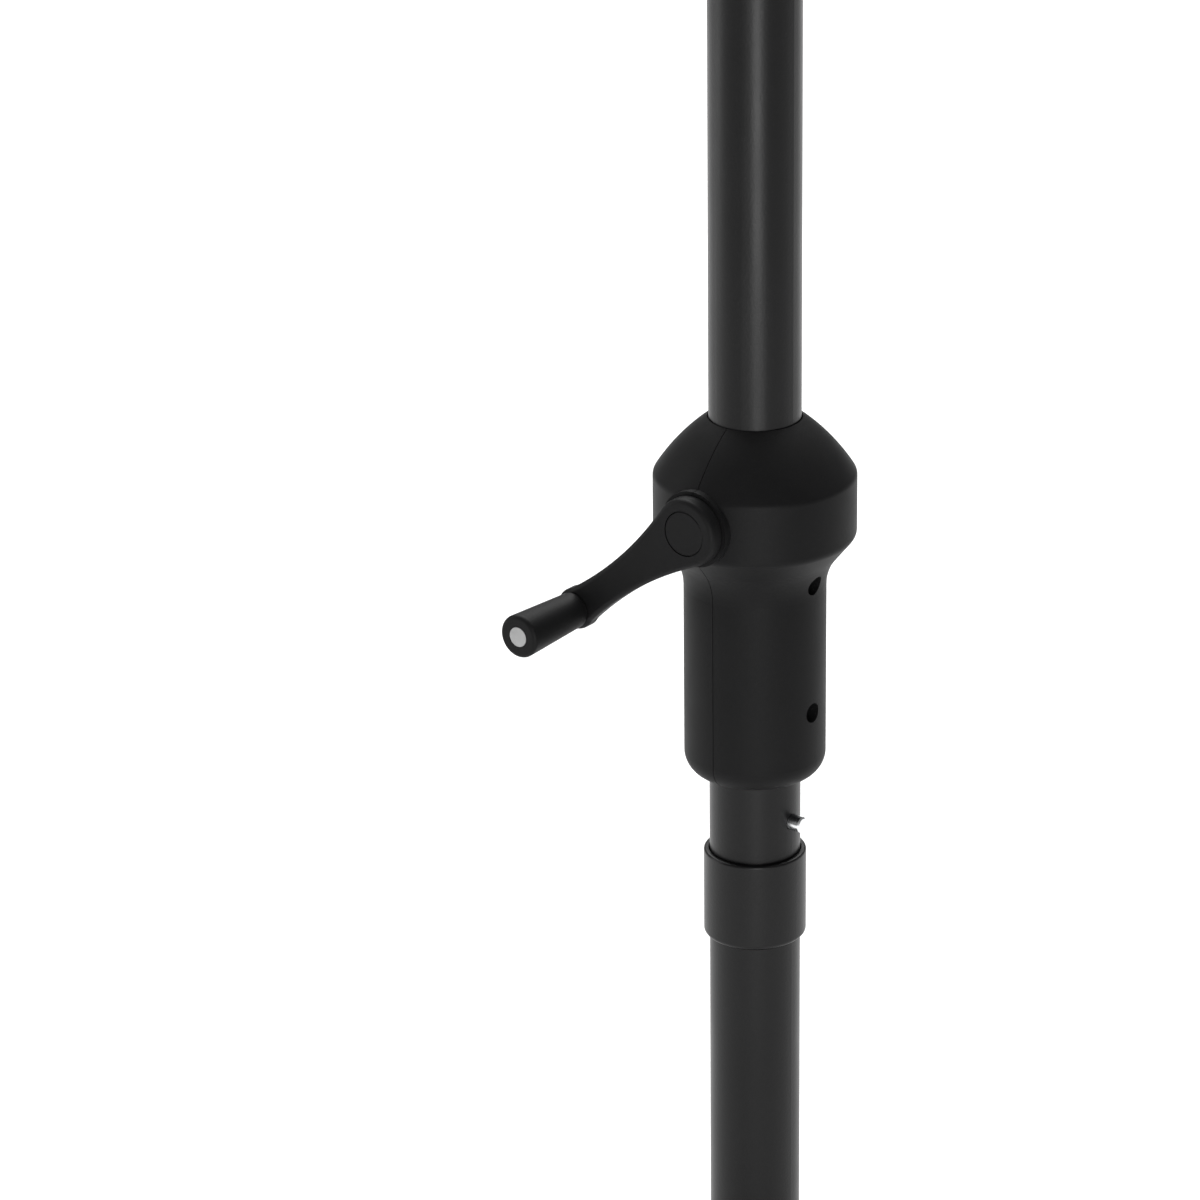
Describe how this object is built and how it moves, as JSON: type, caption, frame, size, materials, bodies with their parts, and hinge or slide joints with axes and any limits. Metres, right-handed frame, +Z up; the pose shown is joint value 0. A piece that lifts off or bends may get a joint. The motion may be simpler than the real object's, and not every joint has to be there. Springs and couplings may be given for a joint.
{
  "type": "umbrella crank lift",
  "caption": "Crank-lift section of a two-piece umbrella mast: bulb-shaped clamshell housing with a folded-down crank and grip, poles above and below, a joint collar and a snap button.",
  "frame": {"origin": "centre of the lower pole's foot, on the mast's axis", "axes": "+Z up the mast, -Y out along the crank's shaft towards the grip, +X the side the snap button points to"},
  "size_m": [0.1075, 0.1272, 0.614],
  "materials": {
    "upper_pole": "satin powder coat",
    "lower_pole": "satin powder coat",
    "neck_tube": "bare drawn steel",
    "joint_collar": "satin powder coat",
    "foot_plug": "moulded",
    "snap_button": "bright zinc plate",
    "snap_spring": "spring steel",
    "housing_left": "fine moulded texture",
    "housing_right": "fine moulded texture",
    "housing_screws": "zinc plated",
    "housing_nuts": "zinc plated",
    "crank_shaft": "turned",
    "cord_spool": "natural acetal",
    "cross_pins": "rolled spring steel",
    "brake_drum": "sintered steel",
    "brake_hub": "turned",
    "wrap_spring": "spring wire",
    "front_bush": "natural acetal",
    "rear_bush": "natural acetal",
    "thrust_washer": "zinc plated",
    "shaft_clip": "black oxide",
    "crank_arm": "fine moulded texture",
    "arm_screw": "zinc plated",
    "arm_cap": "fine moulded texture",
    "crank_grip": "fine moulded texture",
    "grip_rivet": "plain aluminium",
    "rivet_washer": "zinc plated"
  },
  "bodies": {
    "mast": {"upper_pole": "upper_pole", "lower_pole": "lower_pole", "neck_tube": "neck_tube", "joint_collar": "joint_collar", "foot_plug": "foot_plug", "snap_spring": "snap_spring", "housing_left": "housing_left", "housing_right": "housing_right", "housing_screws": "housing_screws", "housing_nuts": "housing_nuts", "brake_drum": "brake_drum", "front_bush": "front_bush", "rear_bush": "rear_bush"},
    "crank": {"crank_arm": "crank_arm", "crank_shaft": "crank_shaft", "cord_spool": "cord_spool", "cross_pins": "cross_pins", "brake_hub": "brake_hub", "wrap_spring": "wrap_spring", "thrust_washer": "thrust_washer", "shaft_clip": "shaft_clip", "arm_screw": "arm_screw", "arm_cap": "arm_cap", "grip_rivet": "grip_rivet", "rivet_washer": "rivet_washer"},
    "grip": {"crank_grip": "crank_grip"},
    "button": {"snap_button": "snap_button"}
  },
  "joints": [
    {"name": "crank_turn", "type": "hinge", "parent": "mast", "child": "crank", "pos_m": [0, 0, 0.352], "axis": [0, -1, 0], "continuous": true},
    {"name": "grip_spin", "type": "hinge", "parent": "crank", "child": "grip", "pos_m": [-0.05657, 0, 0.30586], "axis": [0, -1, 0], "continuous": true},
    {"name": "button_press", "type": "slide", "parent": "mast", "child": "button", "axis": [-1, 0, 0], "range_m": [0, 0.0056], "stiffness_N_per_m": 500, "springref_m": -0.004, "deforming": ["snap_spring"]}
  ]
}
